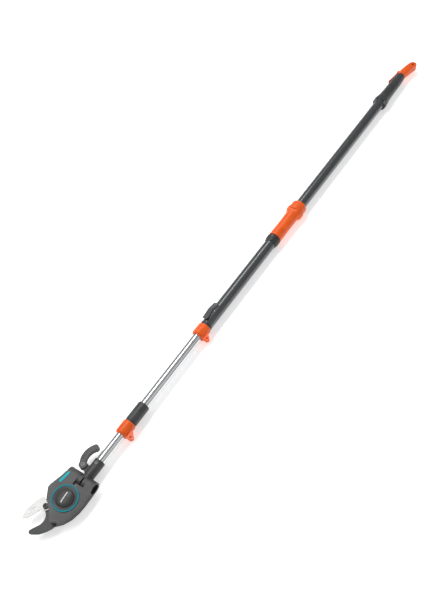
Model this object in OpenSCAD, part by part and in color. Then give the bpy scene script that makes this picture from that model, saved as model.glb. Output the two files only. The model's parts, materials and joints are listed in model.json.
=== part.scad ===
// Telescoping pole pruner: a bypass cutting head on a three-stage telescoping pole.
// The tool lies on its side along X, with the head at the +X end.
// The origin is the centre of the hanging hole in the end handle, and +Z leaves the cover side of the head.

/* [Pole] */
// Outside diameter of the outer tube
outer_d = 36; // [34:0.5:38]
// Wall of the outer tube
outer_wall = 1.5; // [1.2:0.1:1.5]
// Outside diameter of the middle tube
middle_d = 30; // [30:0.1:30.2]
// Outside diameter of the inner tube
inner_d = 27; // [26.8:0.1:27]
// Wall of the middle and inner tubes
thin_wall = 1.2; // [1:0.1:1.2]
// Sideways offset of the hanging hole from the pole's axis
hang_offset = 14; // [8:1:18]
// Distance from the hanging hole to the front end of the outer tube
outer_end = 1393; // [1360:1:1400]
// Distance from the hanging hole to the front end of the middle tube
middle_end = 1763; // [1740:1:1770]
// Distance from the hanging hole to the head's tilt hinge
hinge_x = 1966; // [1960:1:1980]

/* [Handles] */
// Distance from the hanging hole to the flanged end of the slide handle
slide_x = 840; // [800:1:850]
// Length of the slide handle
slide_l = 163; // [155:1:166]
// Outside diameter of the slide handle's grip
slide_d = 42; // [41:0.5:44]
// Outside diameter of the slide handle's flange
flange_d = 57; // [50:1:60]
// Travel of the slide handle
slide_travel = 90; // [80:1:90]
// Radius of the hanging hole
hang_r = 5.5; // [4:0.5:6]

/* [Cutting head] */
// Height of each half of the head housing
shell_h = 18.5; // [18:0.5:19]
// Wall of the head housing
shell_wall = 3; // [2.5:0.5:3]
// Thickness of the cutting blade
blade_t = 3; // [2.5:0.5:3]
// Thickness of the hooked counter blade
hook_t = 4; // [3:0.5:4]
// Swing of the blade from open to closed
blade_swing = 42; // [36:1:42]
// Teeth on the drum's pinion
pinion_teeth = 10; // [10:1:10]
// Radius of the cord's winding on the drum
winding_r = 30.7; // [30:0.1:30.8]

/* [Lock parts] */
// Outside diameter of the front lock collar
front_collar_d = 39; // [38:0.5:40]
// Outside diameter of the rear lock collar
rear_collar_d = 42; // [41:0.5:43]
// Radius of the eye in each lock collar
eye_r = 3.5; // [3:0.5:4]

/* [Hidden] */
$fn = 96;
eps = 0.05;
fit = 0.05;
gap = 0.3;
pole_y = -hang_offset;
outer_r = outer_d / 2;
outer_bore = outer_r - outer_wall;
middle_r = middle_d / 2;
middle_bore = middle_r - thin_wall;
inner_r = inner_d / 2;
inner_bore = inner_r - thin_wall;

// Grip and end handle
grip_x = 74;
grip_end = 257;
grip_tube_x = 190;
rivet_x = 203;
rivet_r = 2;
rivet_head_r = 4.5;
plug_r = 10.7;
plug_end = 170;
handle_h = 22;
handle_end_r = 14;
handle_neck_r = 15.5;
handle_bend = [21, -6, 0];
cord_r = 1.5;
end_cord_l = 470;
latch_x = 60;
latch_tip_x = 124;
latch_w = 10;
latch_t = 3;
latch_in = 20.6;

// Slide handle and its strap
slide_end = slide_x + slide_l;
flange_l = 46;
flange_lip_l = 18;
liner_l = 15;
liner_t = 1.4;
carrier_x = slide_end - 43;
carrier_l = 12;
carrier_w = 7;
strap_w = 9;
strap_in = middle_r + gap;
strap_out = outer_bore - gap;
strap_l = 380;
park_l = 28;
park_d = 45;
park_x = slide_end + gap;
button_x = park_x + 11;
button_r = 3.5;

// Lock collars, collets and the tube latch
collet_ring_l = 9;
collet_nose_l = 23;
collet_insert_l = 40;
rear_collar_x = outer_end + collet_ring_l + gap;
rear_collar_l = 40;
front_ring_l = 5;
front_collar_x = middle_end + front_ring_l + gap;
front_collar_l = 41;
outer_nose_r = 17.2;
middle_nose_r = 15.9;
slit_w = 1.6;
lug_t = 12;
lug_reach = 36.5;
lug_eye_reach = 29;
sleeve_l = 60;
sleeve_d = 35.4;
tail_bush_l = 30;
middle_start = 380;
inner_start = 760;
saddle_x = 1322;
saddle_l = 66;
saddle_w = 24;
saddle_cheek = 2.4;
saddle_angle = 25;
latch_r0 = 19.6;
latch_top = 26;
latch_pin_r = 1.8;
latch_pin_h = 21.6;

// Knuckle and lock lever, measured from the tilt hinge
eye_barrel_r = 18;
eye_half_w = 14.7;
ear_half_gap = 15;
tilt_pin_r = 8;
tilt_pin_in = 5;
tilt_pin_out = 24;
socket_r = 15.5;
socket_l = 68;
socket_tube_x = 26;
lever_pivot = [-36, -32];
lever_arc = [-64, -1.5];
lever_arc_r = 42.5;
lever_sweep = 84;
lever_w = 16;
lever_h = 15;
lever_boss_r = 11.5;
lug_plate_h = 6;
lever_bolt_r = 3;
groove_count = 6;
groove_pitch = 8;
groove_w = 1.8;
groove_deep = 1.2;
cord_slot = 4.6;

// Cutting head, measured from the tilt hinge
head_outline = [[0, -52], [18, -55], [54, -65], [62, -65], [90, -46], [97, -35], [107, -22],
    [128, -3], [130, 3], [112, 20], [90, 31], [66, 36], [42, 37], [0, 36]];
drum_at = [62, -6];
bolt_at = [102, -42];
bolt_r = 4;
bolt_head_r = 7.5;
blade_z = 0.3;
pinion_z = 0.3;
pinion_h = 3.6;
drum_z = 4.3;
drum_h = 9.4;
drum_r = 32;
axle_r = 5;
axle_half = shell_h - shell_wall;
boss_r = 9;
recess_r = eye_barrel_r + 0.6;
recess_x = 22;
notch_x = 22.5;
notch_z = 12.6;
slot_r = 37;
engraving = [[19, -15, -28, 24], [13, -33, 66, 12]];
engrave_w = 0.9;
engrave_deep = 0.35;
mesh = drum_at - bolt_at;
mesh_angle = atan2(mesh[1], mesh[0]);
centre_distance = norm(mesh);
sector_teeth = 4 * pinion_teeth;
gear_m = 2 * centre_distance / (pinion_teeth + sector_teeth);
pinion_r = gear_m * pinion_teeth / 2;
sector_r = gear_m * sector_teeth / 2;
screw_places = [[34, -50], [34, 27], [84, 24], [118, 6]];
screw_r = 1.6;
screw_head_r = 3.2;
screw_boss_r = 4.5;
roller_at = [23, -5.6];
roller_r = 3.6;
cord_path = [[2.5, 0, 0.5], [27, 0, 7], [33.2, -16.7, 8.8]];
dome_r = 31.6;
dome_core_r = 25;
dome_h = 9.5;
ring_in = 32.1;
ring_out = 36.6;
ring_h = 2.4;

module on_pole(x) {
    translate([x, pole_y, 0]) children();
}

module rod(x0, x1, r) {
    on_pole(x0) rotate([0, 90, 0]) cylinder(r = r, h = x1 - x0);
}

module pipe(x0, x1, r_out, r_in) {
    difference() {
        rod(x0, x1, r_out);
        rod(x0 - eps, x1 + eps, r_in);
    }
}

// A turned shape whose profile points are [distance along the pole, radius]
module turned(profile) {
    on_pole(0) rotate([0, 90, 0]) rotate_extrude() polygon([for (p = profile) [p[1], p[0]]]);
}

module at_head() {
    on_pole(hinge_x) children();
}

// A cylinder across the head, along Y from y0 to y1
module cross_rod(y0, y1, r) {
    translate([0, y1, 0]) rotate([90, 0, 0]) cylinder(r = r, h = y1 - y0);
}

module cord_run(a, b) {
    d = b - a;
    l = norm(d);
    translate(a) rotate([0, acos(d[2] / l), atan2(d[1], d[0])]) cylinder(r = cord_r, h = l);
}

// ---- Outer pole ----

module outer_tube() {
    slot_l = slide_travel + carrier_l + 4;
    color("dimgray") difference() {
        pipe(grip_tube_x, outer_end, outer_r, outer_bore);
        on_pole(carrier_x - slide_travel - 2) translate([0, -carrier_w / 2 - gap, -outer_r - 1])
            cube([slot_l, carrier_w + 2 * gap, outer_wall + 3]);
        on_pole(rivet_x) cylinder(r = rivet_r, h = outer_r + 1);
    }
}

module end_grip() {
    bore_r = plug_r + gap;
    color("#3a3c3d") difference() {
        turned([[grip_x, 0], [grip_x, 15.5], [grip_x + 8, 17.6], [grip_x + 34, 19], [grip_x + 80, 19.4],
            [grip_x + 116, 20], [grip_x + 140, 21.4], [grip_x + 160, 24.4], [grip_x + 172, 25.6],
            [grip_end, 25], [grip_end, 0]]);
        rod(grip_x - 1, grip_tube_x + 1, bore_r);
        rod(grip_tube_x, grip_end + 1, outer_r);
        on_pole(grip_end + 12) translate([0, 0, 31]) rotate([90, 0, 0])
            cylinder(r = 27, h = 80, center = true);
        on_pole(rivet_x) cylinder(r = rivet_r, h = 30);
        on_pole(rivet_x) translate([0, 0, 20]) cylinder(r = rivet_head_r, h = 10);
    }
}

module grip_rivet() {
    color("silver") on_pole(rivet_x) {
        translate([0, 0, outer_bore]) cylinder(r = rivet_r, h = 20 - outer_bore);
        translate([0, 0, 20]) cylinder(r = rivet_head_r, h = 1.8);
    }
}

module end_handle() {
    color("#e8591c") difference() {
        union() {
            hull() {
                cylinder(r = handle_end_r, h = handle_h, center = true, $fn = 32);
                translate(handle_bend) cylinder(r = handle_end_r, h = handle_h, center = true, $fn = 32);
            }
            hull() {
                translate(handle_bend) cylinder(r = handle_end_r, h = handle_h, center = true, $fn = 32);
                rod(grip_x - 24, grip_x - gap, handle_neck_r, $fn = 32);
            }
            rod(grip_x - 1, plug_end, plug_r);
            on_pole(latch_x - 4) translate([0, -handle_neck_r - 4.6, -latch_w / 2 - 3])
                cube([9, 8, latch_w + 6]);
        }
        cylinder(r = hang_r, h = handle_h + 2, center = true);
        rod(grip_x + 20, plug_end + 1, cord_r + fit);
        on_pole(latch_x - 6) translate([0, -handle_neck_r - 7, -latch_w / 2 - gap])
            cube([14, 7.4, latch_w + 2 * gap]);
        on_pole(latch_x) translate([0, -handle_neck_r - 2, 0])
            cylinder(r = 1.25, h = latch_w + 8, center = true);
    }
}

// The latch is a sprung finger beside the grip, turning on its own trunnions
module handle_latch() {
    finger_y = -latch_in - latch_t / 2;
    color("#e8591c") on_pole(0) {
        hull() {
            translate([latch_x, -handle_neck_r - 2, 0])
                cylinder(r = 1.9, h = latch_w, center = true, $fn = 32);
            translate([latch_tip_x - 20, finger_y, 0])
                cylinder(r = latch_t / 2, h = latch_w, center = true, $fn = 32);
        }
        hull() {
            translate([latch_tip_x - 20, finger_y, 0])
                cylinder(r = latch_t / 2, h = latch_w, center = true, $fn = 32);
            translate([latch_tip_x, finger_y - 2.6, 0])
                cylinder(r = latch_t / 2, h = latch_w, center = true, $fn = 32);
        }
        translate([latch_x, -handle_neck_r - 2, 0])
            cylinder(r = 1.2, h = latch_w + 5, center = true);
    }
}

module end_cord() {
    color("white") rod(grip_x + 20, grip_x + 20 + end_cord_l, cord_r);
}

// ---- Slide handle ----

module slide_handle() {
    bore_r = outer_r + liner_t + fit;
    lip_x = slide_x + flange_l - flange_lip_l;
    grip_r = slide_d / 2;
    lip_r = flange_d / 2;
    color("#e8591c") difference() {
        turned([[slide_x, 0], [slide_x, lip_r - 6], [slide_x + 5, lip_r - 2.5], [lip_x, lip_r - 2.5],
            [lip_x, lip_r], [lip_x + 12, lip_r], [lip_x + flange_lip_l, lip_r - 3],
            [lip_x + flange_lip_l + 6, grip_r + 1], [slide_end - 60, grip_r],
            [slide_end, grip_r + 0.8], [slide_end, 0]]);
        rod(slide_x + liner_l, slide_end - liner_l, outer_r + gap);
        rod(slide_x - eps, slide_x + liner_l + eps, bore_r);
        rod(slide_end - liner_l - eps, slide_end + eps, bore_r);
        for (side = [-1, 1]) on_pole(lip_x + flange_lip_l) translate([0, 0, side * lip_r])
            rotate([90, 0, 0]) cylinder(r = 7, h = flange_d, center = true);
        on_pole(carrier_x) translate([0, -carrier_w / 2, -outer_r - 2.2])
            cube([carrier_l, carrier_w, 4]);
    }
}

module slide_liners() {
    color("black") {
        pipe(slide_x, slide_x + liner_l, outer_r + liner_t + fit, outer_r + fit);
        pipe(slide_end - liner_l, slide_end, outer_r + liner_t + fit, outer_r + fit);
    }
}

module cord_carrier() {
    color("#2a2a2a") on_pole(carrier_x) translate([0, -carrier_w / 2, -outer_r - 2.2])
        cube([carrier_l, carrier_w, outer_r + 2.2 - strap_out]);
}

module pull_strap() {
    color("white") intersection() {
        pipe(carrier_x, carrier_x + strap_l, strap_out, strap_in);
        on_pole(carrier_x) translate([0, -strap_w / 2, -outer_r]) cube([strap_l, strap_w, 8]);
    }
}

module parking_collar() {
    r = park_d / 2;
    color("#2c2e2f") difference() {
        turned([[park_x, 0], [park_x, r - 2], [park_x + 3, r], [park_x + 16, r],
            [park_x + park_l, outer_r + 1.6], [park_x + park_l, 0]]);
        rod(park_x - 1, park_x + park_l + 1, outer_r);
        on_pole(button_x) cylinder(r = button_r + gap, h = 40);
        for (side = [-1, 1]) on_pole(park_x + park_l + 4) translate([0, side * 14, 24])
            cylinder(r = 10, h = 14, center = true);
    }
}

module park_button() {
    color("#585c5f") on_pole(button_x) translate([0, 0, outer_r + 1.9])
        cylinder(r = button_r, h = 4.2);
}

// ---- Rear lock ----

module collet_slits(x0, x1, r_out) {
    for (a = [0 : 60 : 120]) on_pole(x0) rotate([a, 0, 0]) translate([0, -slit_w / 2, -r_out - 1])
        cube([x1 - x0, slit_w, 2 * r_out + 2]);
}

module outer_collet() {
    nose_end = outer_end + collet_ring_l + collet_nose_l;
    color("#2c2e2f") difference() {
        union() {
            rod(outer_end - collet_insert_l, outer_end, outer_bore);
            rod(outer_end, outer_end + collet_ring_l, outer_r + 0.5);
            rod(outer_end + collet_ring_l, nose_end, outer_nose_r);
        }
        rod(outer_end - collet_insert_l - 1, nose_end + 1, middle_r + 0.1);
        collet_slits(outer_end + collet_ring_l + 3, nose_end + 1, outer_nose_r);
    }
}

// Tools that stand on the tube's shoulder work in a frame whose Z leaves the tube there
module on_shoulder(x) {
    on_pole(x) rotate([saddle_angle, 0, 0]) children();
}

module latch_saddle() {
    pin_x = saddle_l * 0.45;
    color("#3a3c3d") difference() {
        on_shoulder(saddle_x) for (side = [-1, 1]) translate([0, side * (saddle_w - saddle_cheek) / 2, 0])
            hull() {
                translate([4, 0, outer_r - 4]) cube([saddle_l - 8, saddle_cheek, 1], center = false);
                translate([pin_x - 9, 0, latch_pin_h + 2]) cube([18, saddle_cheek, 1], center = false);
            }
        rod(saddle_x - 1, saddle_x + saddle_l + 1, outer_r);
        on_shoulder(saddle_x + pin_x) translate([0, 0, latch_pin_h])
            cross_rod(-saddle_w, saddle_w, latch_pin_r);
    }
}

module latch_pin() {
    half = saddle_w / 2 + 0.8;
    color("silver") on_shoulder(saddle_x + saddle_l * 0.45) translate([0, saddle_cheek / 2, latch_pin_h])
        cross_rod(-half, half, latch_pin_r);
}

module tube_latch() {
    w = saddle_w - 2 * saddle_cheek - 2 * gap;
    color("#8b8f92") difference() {
        on_shoulder(saddle_x) translate([0, saddle_cheek / 2, 0]) hull() {
            translate([saddle_l * 0.45, 0, latch_r0 + 4.5]) cross_rod(-w / 2, w / 2, 4.5, $fn = 32);
            translate([2, 0, latch_r0 + 3.6]) cross_rod(-w / 2, w / 2, 1.4, $fn = 32);
            translate([saddle_l - 3, 0, latch_r0 + 4]) cross_rod(-w / 2, w / 2, 1.6, $fn = 32);
            translate([saddle_l * 0.75, 0, latch_top - 3]) cross_rod(-w / 2, w / 2, 2.6, $fn = 32);
        }
        on_shoulder(saddle_x + saddle_l * 0.45) translate([0, 0, latch_pin_h])
            cross_rod(-saddle_w, saddle_w, latch_pin_r + fit);
    }
}

// A lock collar has a free bore over the collet nose, a narrow mouth and an eye in its lug
module lock_collar(x, l, r_out, nose_r, nose_l, mouth_r) {
    difference() {
        union() {
            turned([[x, 0], [x, r_out - 1], [x + 2, r_out], [x + l - 5, r_out],
                [x + l, r_out - 3.5], [x + l, 0]]);
            hull() {
                on_pole(x + 12) translate([0, r_out - 6, -lug_t / 2]) cube([l - 14, 4, lug_t]);
                on_pole(x + l - 8) translate([0, lug_eye_reach, 0])
                    cylinder(r = lug_reach - lug_eye_reach, h = lug_t, center = true, $fn = 32);
            }
        }
        rod(x - 1, x + nose_l, nose_r + gap);
        rod(x - 1, x + l + 1, mouth_r);
        on_pole(x + l - 8) translate([0, lug_eye_reach, 0])
            cylinder(r = eye_r, h = lug_t + 2, center = true);
    }
}

module rear_lock_collar() {
    color("#e8591c") lock_collar(rear_collar_x, rear_collar_l, rear_collar_d / 2,
        outer_nose_r, collet_nose_l + 1, middle_r + 0.5);
}

// ---- Middle tube ----

module middle_tube() {
    color("gainsboro") pipe(middle_start, middle_end, middle_r, middle_bore);
}

module middle_tail_bush() {
    color("black") difference() {
        pipe(middle_start, middle_start + tail_bush_l, outer_bore - fit, middle_r);
        on_pole(middle_start - 1) translate([0, -strap_w / 2 - 0.8, -outer_r])
            cube([tail_bush_l + 2, strap_w + 1.6, outer_r - 8]);
    }
}

module middle_sleeve() {
    r = sleeve_d / 2;
    x = middle_end - sleeve_l;
    color("#3a3c3d") difference() {
        turned([[x, 0], [x, r - 2.5], [x + 0.8, r - 1], [x + 2.5, r], [middle_end - 1, r],
            [middle_end, r - 1], [middle_end, 0]]);
        rod(x - 1, middle_end + 1, middle_r);
    }
}

module middle_collet() {
    nose_end = middle_end + front_ring_l + collet_nose_l;
    color("#2c2e2f") difference() {
        union() {
            rod(middle_end, middle_end + front_ring_l, sleeve_d / 2 - 1);
            rod(middle_end + front_ring_l, nose_end, middle_nose_r);
        }
        rod(middle_end - 1, nose_end + 1, inner_r + 0.1);
        collet_slits(middle_end + front_ring_l + 3, nose_end + 1, middle_nose_r);
    }
}

module front_lock_collar() {
    color("#e8591c") lock_collar(front_collar_x, front_collar_l, front_collar_d / 2,
        middle_nose_r, collet_nose_l + 1, inner_r + 0.5);
}

// ---- Inner tube and knuckle ----

module inner_tube() {
    color("gainsboro") pipe(inner_start, hinge_x - socket_tube_x, inner_r, inner_bore);
}

module inner_tail_plug() {
    color("black") pipe(inner_start, inner_start + 25, inner_bore, cord_r + 0.5);
}

module inner_cord() {
    color("white") rod(inner_start + 5, hinge_x - 4, cord_r);
}

module knuckle() {
    color("#3a3c3d") difference() {
        union() {
            rod(hinge_x - socket_l, hinge_x - eye_barrel_r - 2, socket_r);
            rod(hinge_x - eye_barrel_r - 2, hinge_x - 8, eye_half_w - 0.5);
            at_head() cross_rod(-eye_half_w, eye_half_w, eye_barrel_r);
            at_head() hull() {
                translate([lever_pivot[0], lever_pivot[1], -lug_plate_h / 2])
                    cylinder(r = 8, h = lug_plate_h, $fn = 32);
                translate([lever_pivot[0] - 8, -14, -lug_plate_h / 2]) cube([22, 6, lug_plate_h]);
            }
        }
        rod(hinge_x - socket_l - 1, hinge_x - socket_tube_x, inner_r);
        rod(hinge_x - socket_tube_x - 1, hinge_x + 40, cord_r + 2.5);
        at_head() cross_rod(-20, 20, tilt_pin_r + fit);
        at_head() translate([lever_pivot[0], lever_pivot[1], -10]) cylinder(r = lever_bolt_r, h = 20);
        on_pole(hinge_x - socket_l + 12) cylinder(r = rivet_r, h = 20);
        on_pole(hinge_x - socket_l + 12) translate([0, 0, socket_r - 1.5])
            cylinder(r = rivet_head_r, h = 4);
        at_head() translate([-7, -cord_slot / 2, -20]) cube([40, cord_slot, 40]);
    }
}

module knuckle_screw() {
    color("silver") on_pole(hinge_x - socket_l + 12) difference() {
        union() {
            translate([0, 0, inner_r]) cylinder(r = rivet_r, h = socket_r - 1.5 - inner_r);
            translate([0, 0, socket_r - 1.5]) cylinder(r = rivet_head_r, h = 2);
        }
        translate([0, 0, socket_r - 0.8]) cylinder(r = 1.6, h = 3, $fn = 6);
    }
}

module lever_bolt() {
    half = lever_h / 2;
    color("#5a5c5e") at_head() translate([lever_pivot[0], lever_pivot[1], 0]) difference() {
        union() {
            translate([0, 0, -half + 0.5]) cylinder(r = lever_bolt_r, h = lever_h);
            translate([0, 0, half - 2.3]) cylinder(r = 6.5, h = 3.2);
        }
        translate([0, 0, half - 1]) cylinder(r = 2, h = 3);
    }
}

module lever_face() {
    start = atan2(lever_pivot[1] - lever_arc[1], lever_pivot[0] - lever_arc[0]);
    end = start - lever_sweep;
    mid = start - lever_sweep / 2;
    translate(lever_pivot) circle(r = lever_boss_r);
    translate(lever_arc) {
        intersection() {
            difference() {
                circle(r = lever_arc_r + lever_w / 2);
                circle(r = lever_arc_r - lever_w / 2);
            }
            polygon([[0, 0], 80 * [cos(end), sin(end)], 80 * [cos(mid), sin(mid)],
                80 * [cos(start), sin(start)]]);
        }
        rotate(end) translate([lever_arc_r, 0]) circle(r = lever_w / 2 + 0.4);
    }
}

module lock_lever() {
    first_groove = atan2(lever_pivot[1] - lever_arc[1], lever_pivot[0] - lever_arc[0]) - 24;
    color("#6e7072") at_head() difference() {
        translate([0, 0, -lever_h / 2]) linear_extrude(height = lever_h) lever_face();
        translate([lever_pivot[0], lever_pivot[1], 0]) {
            cylinder(r = lever_bolt_r + fit, h = lever_h + 2, center = true);
            cylinder(r = lever_boss_r + 2.5, h = lug_plate_h + 2 * gap, center = true);
            translate([0, 0, lever_h / 2 - 2.6]) cylinder(r = 7, h = 5);
        }
        for (side = [-1, 1], i = [0 : groove_count - 1]) translate([lever_arc[0], lever_arc[1], 0])
            rotate([0, 0, first_groove - i * groove_pitch])
            translate([lever_arc_r - 3, -groove_w / 2, side * (lever_h / 2 + 1 - groove_deep) - 1])
            cube([lever_w, groove_w, 2]);
    }
}

module tilt_pins() {
    color("silver") at_head() {
        cross_rod(tilt_pin_in, tilt_pin_out, tilt_pin_r);
        cross_rod(-tilt_pin_out, -tilt_pin_in, tilt_pin_r);
    }
}

module pin_cap() {
    color("black") at_head() difference() {
        cross_rod(tilt_pin_out, tilt_pin_out + 4, 14);
        cross_rod(tilt_pin_out + 1.5, tilt_pin_out + 5, 9);
    }
}

// ---- Head housing ----

module head_face() {
    offset(r = 5, $fn = 32) offset(delta = -5) polygon(head_outline);
}

module ears() {
    cross_rod(-52 + gap, -ear_half_gap, shell_h);
    cross_rod(ear_half_gap, 36, shell_h);
}

module housing_half(side) {
    z0 = side > 0 ? 0 : -shell_h;
    pocket_z = side > 0 ? -1 : shell_wall - shell_h;
    at_head() difference() {
        union() {
            translate([0, 0, z0]) linear_extrude(height = shell_h) head_face();
            intersection() {
                ears();
                translate([-40, -80, z0]) cube([80, 140, shell_h]);
            }
        }
        difference() {
            translate([0, 0, pocket_z]) linear_extrude(height = shell_h - shell_wall + 1) intersection() {
                offset(delta = -shell_wall) head_face();
                translate([recess_x + shell_wall, -100]) square([200, 200]);
            }
            for (p = screw_places) translate([p[0], p[1], -shell_h])
                cylinder(r = screw_boss_r, h = 2 * shell_h);
            if (side < 0) translate([drum_at[0], drum_at[1], -shell_h])
                cylinder(r = boss_r, h = shell_h - 0.2);
        }
        cross_rod(-ear_half_gap, ear_half_gap, recess_r);
        translate([-60, -ear_half_gap, -shell_h - 1])
            cube([60 + eye_half_w, 2 * ear_half_gap, 2 * shell_h + 2]);
        cross_rod(-tilt_pin_out, tilt_pin_out, tilt_pin_r);
        cross_rod(tilt_pin_out, 60, 14);
        translate([10, -5, -4]) cube([recess_x, 10, 13]);
        if (side > 0) translate([12, -ear_half_gap, notch_z])
            cube([notch_x - 12, 2 * ear_half_gap, shell_h]);
        translate([bolt_at[0], bolt_at[1], side > 0 ? -1 : -hook_t - 0.2])
            cylinder(r = slot_r, h = side > 0 ? blade_t + blade_z + 1.3 : hook_t + 1);
        translate([bolt_at[0], bolt_at[1], -shell_h - 1]) cylinder(r = bolt_head_r + 1, h = 2 * shell_h + 2);
        translate([0, 0, -hook_t - 0.2]) linear_extrude(height = hook_t + 0.2) hook_face();
        translate([drum_at[0], drum_at[1], -axle_half]) cylinder(r = axle_r, h = 2 * axle_half);
        for (p = screw_places) translate([p[0], p[1], 0]) {
            translate([0, 0, -shell_h - 1]) cylinder(r = screw_r, h = 2 * shell_h - 3);
            translate([0, 0, -shell_h - 1]) cylinder(r = screw_head_r, h = 4);
        }
        translate([roller_at[0], roller_at[1], 0]) cylinder(r = 1.5, h = axle_half);
        translate([roller_at[0], roller_at[1], 5]) cylinder(r = roller_r + 0.6, h = 7);
    }
}

module housing_top() {
    color("#606264") housing_half(1);
}

module housing_bottom() {
    color("#505254") housing_half(-1);
}

module housing_screws() {
    color("silver") at_head() for (p = screw_places) translate([p[0], p[1], -shell_h + 0.5]) {
        cylinder(r = screw_head_r, h = 2.5);
        cylinder(r = screw_r, h = 2 * shell_h - 6);
    }
}

// ---- Drive ----

module drum_axle() {
    color("silver") at_head() translate([drum_at[0], drum_at[1], -axle_half])
        cylinder(r = axle_r, h = 2 * axle_half);
}

module gear_tooth(r, a) {
    pitch = PI * gear_m;
    tip = r + 0.9 * gear_m;
    root = r - 1.25 * gear_m;
    rotate(a) polygon([[root, -0.29 * pitch], [r, -0.21 * pitch], [tip, -0.11 * pitch],
        [tip, 0.11 * pitch], [r, 0.21 * pitch], [root, 0.29 * pitch]]);
}

module drum() {
    step = 360 / pinion_teeth;
    color("#c9a24a") at_head() translate([drum_at[0], drum_at[1], 0]) difference() {
        union() {
            translate([0, 0, pinion_z]) linear_extrude(height = pinion_h + 1) {
                circle(r = pinion_r - 1.15 * gear_m);
                for (i = [0 : pinion_teeth - 1]) gear_tooth(pinion_r, mesh_angle + 180 + i * step);
            }
            translate([0, 0, drum_z]) rotate_extrude() polygon([[0, 0], [drum_r, 0], [drum_r, 1.4],
                [winding_r - cord_r - 0.2, 2.8], [winding_r - cord_r - 0.2, 6.6], [drum_r, 8],
                [drum_r, drum_h], [0, drum_h]]);
        }
        translate([0, 0, -1]) cylinder(r = axle_r + fit, h = 30);
        for (a = [0 : 60 : 300]) rotate([0, 0, a]) translate([20, 0, drum_z - 1]) cylinder(r = 5, h = 20);
    }
}

module drum_cord() {
    color("white") at_head() translate([drum_at[0], drum_at[1], drum_z + drum_h / 2])
        rotate([0, 0, 15]) rotate_extrude(angle = 153)
        translate([winding_r, 0]) circle(r = cord_r, $fn = 24);
}

// A flat spiral spring lies round the drum boss, in the lower half of the housing
module return_spring() {
    color("slategray") at_head() translate([drum_at[0], drum_at[1], -12]) for (i = [0 : 2])
        difference() {
            cylinder(r = boss_r + 2.2 + 2 * i, h = 5);
            translate([0, 0, -1]) cylinder(r = boss_r + 1 + 2 * i, h = 7);
            if (i > 0) rotate([0, 0, 40 * i]) translate([boss_r, -1, -1]) cube([9, 2, 7]);
        }
}

module guide_roller() {
    color("white") at_head() translate([roller_at[0], roller_at[1], 5.3]) difference() {
        cylinder(r = roller_r, h = 6);
        translate([0, 0, -1]) cylinder(r = 1.5 + fit, h = 9);
    }
}

module roller_pin() {
    color("silver") at_head() translate([roller_at[0], roller_at[1], 0]) cylinder(r = 1.5, h = axle_half);
}

module head_cord() {
    color("white") at_head() union() {
        cord_run(cord_path[0], cord_path[1]);
        cord_run(cord_path[1], cord_path[2]);
        translate(cord_path[1]) sphere(r = cord_r + 0.15);
    }
}

// ---- Jaws ----

module hook_face() {
    difference() {
        union() {
            translate(bolt_at) circle(r = 11);
            polygon([[92, -46], [104, -53], [112, -37], [118, -29.5], [124, -25.5], [131, -23.3],
                [139, -23.2], [147, -25.3], [155, -29.8], [163, -34.6], [171, -38.2], [176, -37.4],
                [178, -33], [176, -27], [171, -18], [165, -10.5], [157, -3.5], [148, 3],
                [138, 8.5], [126, 12], [110, 8], [98, -12]]);
        }
        translate(bolt_at) circle(r = bolt_r);
        translate(screw_places[3]) circle(r = screw_r);
    }
}

module counter_blade() {
    color("#4a4c4e") at_head() translate([0, 0, -hook_t]) linear_extrude(height = hook_t) hook_face();
}

module blade_face() {
    span = blade_swing + 26;
    step = 360 / sector_teeth;
    root_r = sector_r - 1.15 * gear_m;
    difference() {
        union() {
            circle(r = 11);
            polygon([[-11, -2], [-18, -19], [-17, -23], [0, -31.5], [16, -36.2], [30, -38], [42, -37.4],
                [52, -34.8], [57, -31.6], [50, -24], [44, -18.6], [14, -6.5], [10, 5]]);
            intersection() {
                circle(r = root_r);
                polygon([[0, 0], 80 * [cos(mesh_angle - span + 13), sin(mesh_angle - span + 13)],
                    80 * [cos(mesh_angle - 20), sin(mesh_angle - 20)],
                    80 * [cos(mesh_angle + 15), sin(mesh_angle + 15)]]);
            }
            for (i = [-6 : 1]) gear_tooth(sector_r, mesh_angle + (i + 0.5) * step);
        }
        circle(r = bolt_r + fit);
        rotate(mesh_angle - 20) translate([24, 0]) circle(r = 7);
    }
}

module blade() {
    color("whitesmoke") at_head() translate([bolt_at[0], bolt_at[1], blade_z])
        difference() {
            linear_extrude(height = blade_t) blade_face();
            for (g = engraving) translate([g[0], g[1], blade_t - engrave_deep]) rotate([0, 0, g[2]])
                cube([g[3], engrave_w, 1]);
        }
}

module blade_bolt() {
    color("#2c2e2f") at_head() translate([bolt_at[0], bolt_at[1], 0]) difference() {
        union() {
            translate([0, 0, -hook_t - 5]) cylinder(r = bolt_r, h = hook_t + 5 + blade_z + blade_t + 1);
            translate([0, 0, blade_z + blade_t + 0.2]) cylinder(r = bolt_head_r, h = 4);
        }
        translate([0, 0, blade_z + blade_t + 1.8]) cylinder(r = 3, h = 6, $fn = 6);
    }
}

module blade_nut() {
    color("silver") at_head() translate([bolt_at[0], bolt_at[1], -hook_t - 4]) difference() {
        cylinder(r = 7, h = 4, $fn = 6);
        translate([0, 0, -1]) cylinder(r = bolt_r, h = 6);
    }
}

// ---- Cover, ring and plain markings ----

module on_cover() {
    at_head() translate([drum_at[0], drum_at[1], shell_h]) children();
}

// The dome's turned shape, raised by lift above its own surface
module dome(lift) {
    core_h = dome_h - 1.4;
    arc = [for (i = [0 : 7]) [dome_core_r * cos(i * 11), 1.4 + lift + core_h * sin(i * 11)]];
    rotate_extrude() polygon(concat([[0, 0], [dome_r, 0], [dome_r, 1.6 + lift],
        [dome_core_r + 2.5, 0.8 + lift]], arc, [[0, dome_h + lift]]));
}

module dome_cover() {
    color("#4c4e50") on_cover() dome(0);
}

module dial_ring() {
    color("#00a3b4") on_cover() difference() {
        cylinder(r = ring_out, h = ring_h);
        translate([0, 0, -1]) cylinder(r = ring_in, h = ring_h + 2);
    }
}

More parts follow.
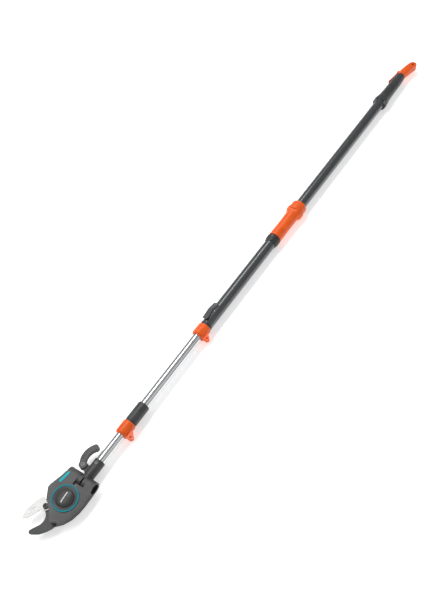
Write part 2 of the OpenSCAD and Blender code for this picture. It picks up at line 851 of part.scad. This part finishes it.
module dome_strip() {
    color("whitesmoke") on_cover() difference() {
        intersection() {
            dome(0.5);
            rotate([0, 0, 5]) translate([-15, -1.2, 3]) cube([30, 2.4, 8]);
        }
        dome(0);
    }
}

module side_strip() {
    color("#12c8dc") at_head() translate([0, -43.5, shell_h]) hull() {
        translate([4, 0, 0]) cylinder(r = 3.4, h = 0.8, $fn = 32);
        translate([32, -4, 0]) cylinder(r = 3.4, h = 0.8, $fn = 32);
    }
}

outer_tube();
end_grip();
grip_rivet();
end_handle();
handle_latch();
end_cord();
slide_handle();
slide_liners();
cord_carrier();
pull_strap();
parking_collar();
park_button();
outer_collet();
latch_saddle();
latch_pin();
tube_latch();
rear_lock_collar();
middle_tube();
middle_tail_bush();
middle_sleeve();
middle_collet();
front_lock_collar();
inner_tube();
inner_tail_plug();
inner_cord();
knuckle();
knuckle_screw();
lever_bolt();
lock_lever();
tilt_pins();
pin_cap();
housing_top();
housing_bottom();
housing_screws();
drum_axle();
drum();
drum_cord();
return_spring();
guide_roller();
roller_pin();
head_cord();
counter_blade();
blade();
blade_bolt();
blade_nut();
dome_cover();
dial_ring();
dome_strip();
side_strip();
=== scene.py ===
import json
import math

import bmesh
import bpy
from mathutils import Matrix, Vector


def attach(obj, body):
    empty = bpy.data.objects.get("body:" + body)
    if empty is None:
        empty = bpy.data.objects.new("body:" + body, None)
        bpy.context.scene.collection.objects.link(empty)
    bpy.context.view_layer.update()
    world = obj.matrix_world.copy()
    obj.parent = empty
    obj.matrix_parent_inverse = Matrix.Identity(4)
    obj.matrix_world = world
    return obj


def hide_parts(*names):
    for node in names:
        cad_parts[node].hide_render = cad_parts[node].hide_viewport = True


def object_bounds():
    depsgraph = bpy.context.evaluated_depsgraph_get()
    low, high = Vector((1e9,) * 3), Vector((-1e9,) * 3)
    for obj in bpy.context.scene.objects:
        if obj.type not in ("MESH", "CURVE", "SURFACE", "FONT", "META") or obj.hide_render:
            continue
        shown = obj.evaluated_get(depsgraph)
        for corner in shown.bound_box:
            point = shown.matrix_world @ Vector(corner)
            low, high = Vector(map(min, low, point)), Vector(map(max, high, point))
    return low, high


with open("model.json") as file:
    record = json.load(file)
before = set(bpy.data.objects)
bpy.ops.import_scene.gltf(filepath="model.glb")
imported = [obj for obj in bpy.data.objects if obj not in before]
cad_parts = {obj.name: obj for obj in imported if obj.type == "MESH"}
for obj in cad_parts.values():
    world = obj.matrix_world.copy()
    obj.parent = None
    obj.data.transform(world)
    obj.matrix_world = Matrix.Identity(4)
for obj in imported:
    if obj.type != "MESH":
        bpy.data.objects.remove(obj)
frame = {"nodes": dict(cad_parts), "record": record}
cad_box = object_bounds()
nodes = frame["nodes"]

# All places and sizes are in metres, in the part's own frame.
POLE_Y = -0.014
NECK_X = 1.904
MID_X = 1.15

# The pole's direction and the neck's place as the camera sees them, with -Z into the view
POLE_SEEN = (0.551, 0.7005, -0.4535)
NECK_SEEN = (-0.318, -0.4325, -1.906)
POLE_ROLL_DEG = 26
LENS_MM = 43.2
CLIP_END = 100

FLOOR_GAP = 0.0005
FLOOR_HALF = 14
FLOOR_GLOW = 0.50

KEY_TILT_DEG = 50
KEY_DISTANCE = 1.7
KEY_LENGTH = 3.4
KEY_WIDTH = 0.42
KEY_POWER = 34
FILL_DIRECTION = (0.8, 0.1, 0.9)
FILL_DISTANCE = 3.6
FILL_SIZE = 2.4
FILL_POWER = 6
WORLD_STRENGTH = 0.40

BEVEL_SEGMENTS = 3
BEVEL_ANGLE_DEG = 28
SMOOTH_ANGLE_DEG = 40
FLAT_ANGLE_DEG = 0.4
WELD_DISTANCE = 1e-5


# ---- Materials ----

def new_material(name):
    mat = bpy.data.materials.new(name)
    mat.use_nodes = True
    tree = mat.node_tree
    return mat, tree, tree.nodes["Principled BSDF"]


def object_coords(tree, scale):
    coord = tree.nodes.new("ShaderNodeTexCoord")
    mapping = tree.nodes.new("ShaderNodeMapping")
    mapping.inputs["Scale"].default_value = scale
    tree.links.new(coord.outputs["Object"], mapping.inputs["Vector"])
    return mapping.outputs["Vector"]


def noise(tree, vector, scale, detail=4.0, rough=0.55):
    node = tree.nodes.new("ShaderNodeTexNoise")
    node.inputs["Scale"].default_value = scale
    node.inputs["Detail"].default_value = detail
    node.inputs["Roughness"].default_value = rough
    tree.links.new(vector, node.inputs["Vector"])
    return node.outputs["Fac"]


def ramp_range(tree, value, low, high):
    node = tree.nodes.new("ShaderNodeMapRange")
    node.inputs["From Min"].default_value = 0.3
    node.inputs["From Max"].default_value = 0.7
    node.inputs["To Min"].default_value = low
    node.inputs["To Max"].default_value = high
    tree.links.new(value, node.inputs["Value"])
    return node.outputs["Result"]


def mix_colour(tree, factor, a, b):
    node = tree.nodes.new("ShaderNodeMix")
    node.data_type = "RGBA"
    tree.links.new(factor, node.inputs["Factor"])
    # A colour mix takes its two colours at inputs 6 and 7 and gives the result at output 2
    for key, value in ((6, a), (7, b)):
        if isinstance(value, tuple):
            node.inputs[key].default_value = (*value, 1.0)
        else:
            tree.links.new(value, node.inputs[key])
    return node.outputs[2]


def edge_factor(tree, strength):
    """Bright where the surface is convex, along its edges."""
    geo = tree.nodes.new("ShaderNodeNewGeometry")
    node = tree.nodes.new("ShaderNodeMapRange")
    node.inputs["From Min"].default_value = 0.52
    node.inputs["From Max"].default_value = 0.62
    node.inputs["To Max"].default_value = strength
    tree.links.new(geo.outputs["Pointiness"], node.inputs["Value"])
    return node.outputs["Result"]


def add_bump(tree, bsdf, height, strength, distance):
    node = tree.nodes.new("ShaderNodeBump")
    node.inputs["Strength"].default_value = strength
    node.inputs["Distance"].default_value = distance
    tree.links.new(height, node.inputs["Height"])
    tree.links.new(node.outputs["Normal"], bsdf.inputs["Normal"])


def plastic(name, colour, rough, grain=0.25, edge_lift=0.25, coat=0.0, shine=0.5):
    mat, tree, bsdf = new_material(name)
    vector = object_coords(tree, (1, 1, 1))
    fine = noise(tree, vector, 2600, 3)
    broad = noise(tree, vector, 28, 5)
    light = tuple(min(1.0, c * 1.14 + 0.006) for c in colour)
    dark = tuple(c * 0.87 for c in colour)
    body = mix_colour(tree, ramp_range(tree, broad, 0, 1), dark, light)
    # Convex edges are mixed towards a lighter copy of the colour
    edge_colour = tuple(min(1.0, c * 1.5 + 0.03) for c in colour)
    final = mix_colour(tree, edge_factor(tree, edge_lift), body, edge_colour)
    tree.links.new(final, bsdf.inputs["Base Color"])
    tree.links.new(ramp_range(tree, broad, rough - 0.06, rough + 0.07), bsdf.inputs["Roughness"])
    bsdf.inputs["Specular IOR Level"].default_value = shine
    bsdf.inputs["Coat Weight"].default_value = coat
    bsdf.inputs["Coat Roughness"].default_value = 0.2
    add_bump(tree, bsdf, fine, grain, 0.00012)
    return mat


def brushed(name, colour, rough, stretch, metallic=1.0, streak=0.05, coat=0.0):
    mat, tree, bsdf = new_material(name)
    vector = object_coords(tree, stretch)
    lines = noise(tree, vector, 900, 4)
    cloud = noise(tree, object_coords(tree, (1, 1, 1)), 14, 4)
    light = tuple(min(1.0, c * 1.05) for c in colour)
    dark = tuple(c * 0.9 for c in colour)
    tree.links.new(mix_colour(tree, ramp_range(tree, lines, 0, 1), dark, light),
                   bsdf.inputs["Base Color"])
    add = tree.nodes.new("ShaderNodeMath")
    tree.links.new(ramp_range(tree, lines, rough - streak, rough + streak), add.inputs[0])
    tree.links.new(ramp_range(tree, cloud, -0.03, 0.03), add.inputs[1])
    tree.links.new(add.outputs[0], bsdf.inputs["Roughness"])
    bsdf.inputs["Metallic"].default_value = metallic
    bsdf.inputs["Coat Weight"].default_value = coat
    add_bump(tree, bsdf, lines, 0.12, 0.00006)
    return mat


def braided(name, colour):
    mat, tree, bsdf = new_material(name)
    vector = object_coords(tree, (1, 1, 1))
    wave = tree.nodes.new("ShaderNodeTexWave")
    wave.bands_direction = "DIAGONAL"
    wave.inputs["Scale"].default_value = 420
    wave.inputs["Distortion"].default_value = 1.5
    tree.links.new(vector, wave.inputs["Vector"])
    tree.links.new(mix_colour(tree, wave.outputs["Fac"], tuple(c * 0.7 for c in colour), colour),
                   bsdf.inputs["Base Color"])
    bsdf.inputs["Roughness"].default_value = 0.85
    bsdf.inputs["Sheen Weight"].default_value = 0.2
    add_bump(tree, bsdf, wave.outputs["Fac"], 0.5, 0.0003)
    return mat


MATS = {
    "graphite": brushed("graphite", (0.085, 0.092, 0.095), 0.34, (0.05, 1, 1), 0.70, 0.04, 0.4),
    "soft_grip": plastic("soft_grip", (0.034, 0.037, 0.038), 0.44, 0.35, 0.18),
    "orange": plastic("orange", (0.82, 0.105, 0.004), 0.38, 0.15, 0.05, 0.0, 0.35),
    "black": plastic("black", (0.018, 0.019, 0.020), 0.48, 0.25, 0.20),
    "housing": plastic("housing", (0.030, 0.030, 0.029), 0.46, 0.50, 0.35),
    "housing_dark": plastic("housing_dark", (0.020, 0.020, 0.020), 0.48, 0.40, 0.25),
    "lever": plastic("lever", (0.038, 0.038, 0.037), 0.46, 0.45, 0.40),
    "hump": plastic("hump", (0.070, 0.074, 0.076), 0.42, 0.25, 0.25),
    "silver": brushed("silver", (0.66, 0.67, 0.68), 0.16, (0.02, 1, 1), 1.0, 0.04),
    "steel": brushed("steel", (0.40, 0.41, 0.42), 0.32, (1, 1, 1)),
    "dark_steel": brushed("dark_steel", (0.075, 0.077, 0.078), 0.36, (1, 1, 1), 0.7),
    "blade": brushed("blade", (0.52, 0.52, 0.51), 0.40, (0.2, 2.0, 1), 0.30, 0.08),
    "hook": brushed("hook", (0.030, 0.031, 0.032), 0.48, (0.4, 1, 1), 0.2, 0.08),
    "drum": plastic("drum", (0.42, 0.30, 0.12), 0.45),
    "cord": braided("cord", (0.72, 0.72, 0.68)),
    "teal": plastic("teal", (0.0, 0.20, 0.25), 0.42, 0.1, 0.10, 0.0, 0.12),
    "cyan": plastic("cyan", (0.0, 0.46, 0.53), 0.42, 0.1, 0.10, 0.0, 0.12),
    "mark": plastic("mark", (0.70, 0.71, 0.71), 0.35, 0.1, 0.0),
}

NODE_MATS = {
    "outer_tube": "graphite", "end_grip": "soft_grip", "grip_rivet": "dark_steel", "end_handle": "orange",
    "handle_latch": "orange", "end_cord": "cord", "slide_handle": "orange", "slide_liners": "black",
    "cord_carrier": "black", "pull_strap": "cord", "parking_collar": "black", "park_button": "hump",
    "outer_collet": "black", "latch_saddle": "hump", "latch_pin": "steel", "tube_latch": "hump",
    "rear_lock_collar": "orange", "middle_tube": "silver", "middle_tail_bush": "black",
    "middle_sleeve": "soft_grip", "middle_collet": "black", "front_lock_collar": "orange",
    "inner_tube": "silver", "inner_tail_plug": "black", "inner_cord": "cord", "knuckle": "housing",
    "knuckle_screw": "dark_steel", "lever_bolt": "dark_steel", "lock_lever": "lever", "tilt_pins": "steel",
    "pin_cap": "black", "housing_top": "housing", "housing_bottom": "housing_dark",
    "housing_screws": "steel", "drum_axle": "steel", "drum": "drum", "drum_cord": "cord",
    "return_spring": "steel", "guide_roller": "mark", "roller_pin": "steel", "head_cord": "cord",
    "counter_blade": "hook", "blade": "blade", "blade_bolt": "black", "blade_nut": "steel",
    "dome_cover": "housing", "dial_ring": "teal", "dome_strip": "mark", "side_strip": "cyan",
}

BODY_OF = {n: b for b, names in frame["record"]["behaviour"]["bodies"].items() for n in names}


def paint(obj, mat):
    obj.data.materials.clear()
    obj.data.materials.append(MATS[mat])


# ---- Softened copies of the moulded pieces ----

def softened(node, width):
    """A copy of a node's shape with its hard edges rounded, which stands for the node."""
    source = nodes[node]
    mesh = source.data.copy()
    obj = bpy.data.objects.new(node + "_soft", mesh)
    bpy.context.scene.collection.objects.link(obj)
    obj.matrix_world = source.matrix_world.copy()
    bm = bmesh.new()
    bm.from_mesh(mesh)
    bmesh.ops.remove_doubles(bm, verts=bm.verts, dist=WELD_DISTANCE)
    bmesh.ops.dissolve_limit(bm, angle_limit=math.radians(FLAT_ANGLE_DEG), verts=bm.verts,
                             edges=bm.edges)
    bm.to_mesh(mesh)
    bm.free()
    bevel = obj.modifiers.new("soften", "BEVEL")
    bevel.width = width
    bevel.segments = BEVEL_SEGMENTS
    bevel.limit_method = "ANGLE"
    bevel.angle_limit = math.radians(BEVEL_ANGLE_DEG)
    bevel.use_clamp_overlap = True
    bevel.harden_normals = True
    for poly in mesh.polygons:
        poly.use_smooth = True
    mesh.set_sharp_from_angle(angle=math.radians(SMOOTH_ANGLE_DEG))
    paint(obj, NODE_MATS[node])
    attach(obj, BODY_OF[node])
    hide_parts(node)


for name, node in nodes.items():
    paint(node, NODE_MATS[name])

SOFTENED = {
    "end_handle": 0.0022, "slide_handle": 0.0010, "parking_collar": 0.0008, "rear_lock_collar": 0.0010,
    "front_lock_collar": 0.0010, "knuckle": 0.0010, "lock_lever": 0.0018, "housing_top": 0.0030,
    "housing_bottom": 0.0022, "counter_blade": 0.0006, "blade": 0.0004, "dial_ring": 0.0007,
    "tube_latch": 0.0020, "latch_saddle": 0.0006, "handle_latch": 0.0006, "end_grip": 0.0008,
    "blade_bolt": 0.0006, "park_button": 0.0006, "middle_sleeve": 0.0005, "side_strip": 0.0002,
    "lever_bolt": 0.0004, "pin_cap": 0.0006,
}
for name, width in SOFTENED.items():
    softened(name, width)


# ---- Stage, light and camera ----

def make_floor():
    floor_z = cad_box[0][2] - FLOOR_GAP
    mesh = bpy.data.meshes.new("floor")
    corners = ((-FLOOR_HALF, -FLOOR_HALF), (FLOOR_HALF, -FLOOR_HALF),
               (FLOOR_HALF, FLOOR_HALF), (-FLOOR_HALF, FLOOR_HALF))
    mesh.from_pydata([(x, y, floor_z) for x, y in corners], [], [(0, 1, 2, 3)])
    floor = bpy.data.objects.new("floor", mesh)
    bpy.context.scene.collection.objects.link(floor)
    mat, tree, bsdf = new_material("floor_white")
    cloud = noise(tree, object_coords(tree, (1, 1, 1)), 1.2)
    tree.links.new(mix_colour(tree, cloud, (0.90, 0.90, 0.90), (0.92, 0.92, 0.92)),
                   bsdf.inputs["Base Color"])
    bsdf.inputs["Roughness"].default_value = 0.9
    bsdf.inputs["Specular IOR Level"].default_value = 0.1
    bsdf.inputs["Emission Color"].default_value = (1, 1, 1, 1)
    bsdf.inputs["Emission Strength"].default_value = FLOOR_GLOW
    mesh.materials.append(mat)


def camera_axes():
    """The object's X, Y and Z axes as the camera sees them, rolled about the pole,
    and the two directions square to the pole before that roll."""
    along = -Vector(POLE_SEEN).normalized()
    toward = Vector((0, 0, 1))
    w = (toward - along * toward.dot(along)).normalized()
    u = w.cross(along)
    roll = math.radians(POLE_ROLL_DEG)
    z_axis = math.cos(roll) * w - math.sin(roll) * u
    y_axis = math.cos(roll) * u + math.sin(roll) * w
    return along, y_axis, z_axis, u, w


def make_camera():
    """Place the camera, and return its turn into the world with the light's two directions."""
    x_axis, y_axis, z_axis, u, w = camera_axes()
    neck = Vector((NECK_X, POLE_Y, 0))
    to_world = Matrix((x_axis, y_axis, z_axis))
    data = bpy.data.cameras.new("camera")
    data.lens = LENS_MM
    data.clip_end = CLIP_END
    cam = bpy.data.objects.new("camera", data)
    bpy.context.scene.collection.objects.link(cam)
    place = neck - to_world @ Vector(NECK_SEEN)
    cam.matrix_world = Matrix.Translation(place) @ to_world.to_4x4()
    bpy.context.scene.camera = cam
    return to_world, u, w


def area_light(name, to_world, direction, distance, size, power, target):
    light = bpy.data.lights.new(name, "AREA")
    light.shape = "DISK"
    light.size = size
    light.energy = power
    obj = bpy.data.objects.new(name, light)
    bpy.context.scene.collection.objects.link(obj)
    away = (to_world @ Vector(direction)).normalized()
    obj.location = target + away * distance
    obj.rotation_mode = "QUATERNION"
    obj.rotation_quaternion = away.to_track_quat("Z", "Y")


def strip_light(name, away, distance, length, width, power, target):
    """A long softbox that lies along the pole, so every round piece gets one clean highlight."""
    light = bpy.data.lights.new(name, "AREA")
    light.shape = "RECTANGLE"
    light.size = length
    light.size_y = width
    light.energy = power
    obj = bpy.data.objects.new(name, light)
    bpy.context.scene.collection.objects.link(obj)
    z_axis = away.normalized()
    x_axis = (Vector((1, 0, 0)) - z_axis * z_axis.x).normalized()
    y_axis = z_axis.cross(x_axis)
    turn = Matrix((x_axis, y_axis, z_axis)).transposed()
    obj.matrix_world = Matrix.Translation(target + z_axis * distance) @ turn.to_4x4()


def make_world(strength):
    world = bpy.data.worlds.new("studio")
    world.use_nodes = True
    tree = world.node_tree
    coord = tree.nodes.new("ShaderNodeTexCoord")
    split = tree.nodes.new("ShaderNodeSeparateXYZ")
    ramp = tree.nodes.new("ShaderNodeValToRGB")
    ramp.color_ramp.elements[0].position = 0.18
    ramp.color_ramp.elements[0].color = (0.75, 0.75, 0.76, 1)
    ramp.color_ramp.elements[1].position = 0.62
    ramp.color_ramp.elements[1].color = (1, 1, 1, 1)
    tree.links.new(coord.outputs["Generated"], split.inputs[0])
    tree.links.new(split.outputs["Z"], ramp.inputs["Fac"])
    tree.links.new(ramp.outputs["Color"], tree.nodes["Background"].inputs["Color"])
    tree.nodes["Background"].inputs["Strength"].default_value = strength
    bpy.context.scene.world = world


make_floor()
to_world, u, w = make_camera()
middle = Vector((MID_X, POLE_Y, 0))
tilt = math.radians(KEY_TILT_DEG)
strip_light("key", to_world @ (math.cos(tilt) * w - math.sin(tilt) * u),
            KEY_DISTANCE, KEY_LENGTH, KEY_WIDTH, KEY_POWER, middle)
area_light("fill", to_world, FILL_DIRECTION, FILL_DISTANCE, FILL_SIZE, FILL_POWER, middle)
make_world(WORLD_STRENGTH)
bpy.context.scene.view_settings.view_transform = "Standard"
